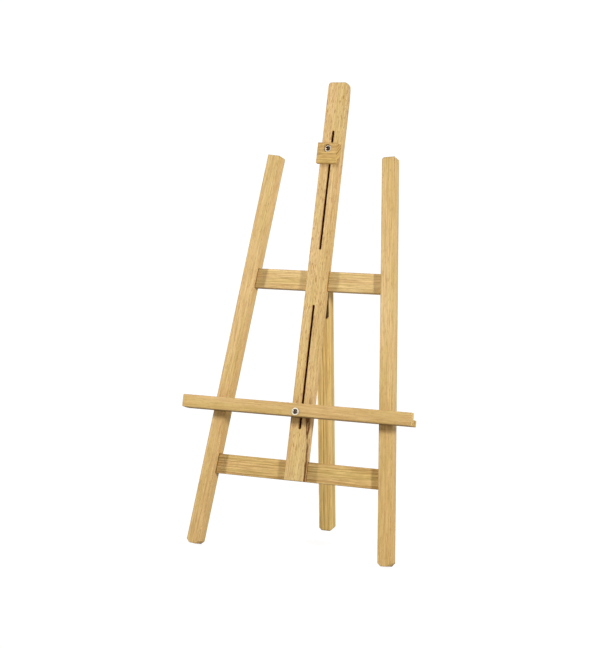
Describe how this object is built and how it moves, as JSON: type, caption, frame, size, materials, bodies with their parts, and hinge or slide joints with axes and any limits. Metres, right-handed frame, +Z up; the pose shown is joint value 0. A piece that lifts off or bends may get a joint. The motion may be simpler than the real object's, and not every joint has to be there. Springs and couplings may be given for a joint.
{
  "type": "tripod field easel",
  "caption": "Folding wooden field easel: splayed front legs on crossbars, a slotted mast with a sliding canvas tray and top clamp held by wing nuts, and a hinged rear leg.",
  "frame": {"origin": "on the floor, under the middle of the object's bounding box; the mast's middle plane is 4 mm to its right because the tray reaches 8 mm further left than right", "axes": "+X across the easel to the right as seen from the front, +Y to the back, +Z up; the painter stands on the -Y side"},
  "size_m": [0.456, 0.2802, 0.8657],
  "materials": {
    "pine_pale": "planed and lightly oiled pale pine",
    "pine_warm": "planed and lightly oiled pine with strong warm figure",
    "pine_deep": "planed and lightly oiled pine, straight darker grain",
    "zinc_steel": "bright zinc plated",
    "yellow_zinc": "yellow brassy plate",
    "black_steel": "blackened, satin"
  },
  "bodies": {
    "frame": {"left_leg": "pine_pale", "right_leg": "pine_pale", "upper_crossbar": "pine_warm", "lower_crossbar": "pine_warm", "mast": "pine_pale", "mast_screw_1": "zinc_steel", "mast_screw_2": "zinc_steel", "mast_screw_3": "zinc_steel", "mast_screw_4": "zinc_steel", "hinge_cross_leaf": "black_steel", "hinge_pin": "black_steel", "hinge_cross_screw_1": "black_steel", "hinge_cross_screw_2": "black_steel", "hinge_cross_screw_3": "black_steel", "hinge_cross_screw_4": "black_steel"},
    "rear_leg": {"rear_leg": "pine_deep", "hinge_strap_leaf": "black_steel", "hinge_strap_screw_1": "black_steel", "hinge_strap_screw_2": "black_steel", "hinge_strap_screw_3": "black_steel"},
    "clamp_bolt": {"clamp_bolt": "zinc_steel", "clamp_front_washer": "yellow_zinc", "clamp_back_washer": "zinc_steel"},
    "clamp_block": {"clamp_block": "pine_warm"},
    "clamp_wing_nut": {"clamp_wing_nut": "zinc_steel"},
    "tray_bolt": {"tray_bolt": "zinc_steel", "tray_front_washer": "yellow_zinc", "tray_back_washer": "zinc_steel"},
    "tray": {"tray_lip": "pine_pale", "tray_ledge": "pine_warm", "tray_screw_1": "zinc_steel", "tray_screw_2": "zinc_steel", "tray_screw_3": "zinc_steel", "tray_screw_4": "zinc_steel"},
    "tray_wing_nut": {"tray_wing_nut": "zinc_steel"}
  },
  "joints": [
    {"name": "rear_leg_hinge", "type": "hinge", "parent": "frame", "child": "rear_leg", "pos_m": [0.004, 0.03836, 0.49107], "axis": [1, 0, 0], "range_deg": [-18.5, 1]},
    {"name": "clamp_slide", "type": "slide", "parent": "frame", "child": "clamp_bolt", "axis": [0, 0.2932, 0.956], "range_m": [-0.1891, 0.037]},
    {"name": "clamp_swivel", "type": "hinge", "parent": "clamp_bolt", "child": "clamp_block", "pos_m": [0.004, 0.07388, 0.73989], "axis": [0, -0.956, 0.2932], "continuous": true},
    {"name": "clamp_nut_turn", "type": "hinge", "parent": "clamp_bolt", "child": "clamp_wing_nut", "pos_m": [0.004, 0.10447, 0.73051], "axis": [0, -0.956, 0.2932], "continuous": true},
    {"name": "tray_slide", "type": "slide", "parent": "frame", "child": "tray_bolt", "axis": [0, 0.2932, 0.956], "range_m": [-0.0271, 0.202]},
    {"name": "tray_tilt", "type": "hinge", "parent": "tray_bolt", "child": "tray", "pos_m": [0.004, -0.07794, 0.2619], "axis": [0, -0.956, 0.2932], "range_deg": [-12, 12]},
    {"name": "tray_nut_turn", "type": "hinge", "parent": "tray_bolt", "child": "tray_wing_nut", "pos_m": [0.004, -0.04257, 0.25105], "axis": [0, -0.956, 0.2932], "continuous": true}
  ]
}
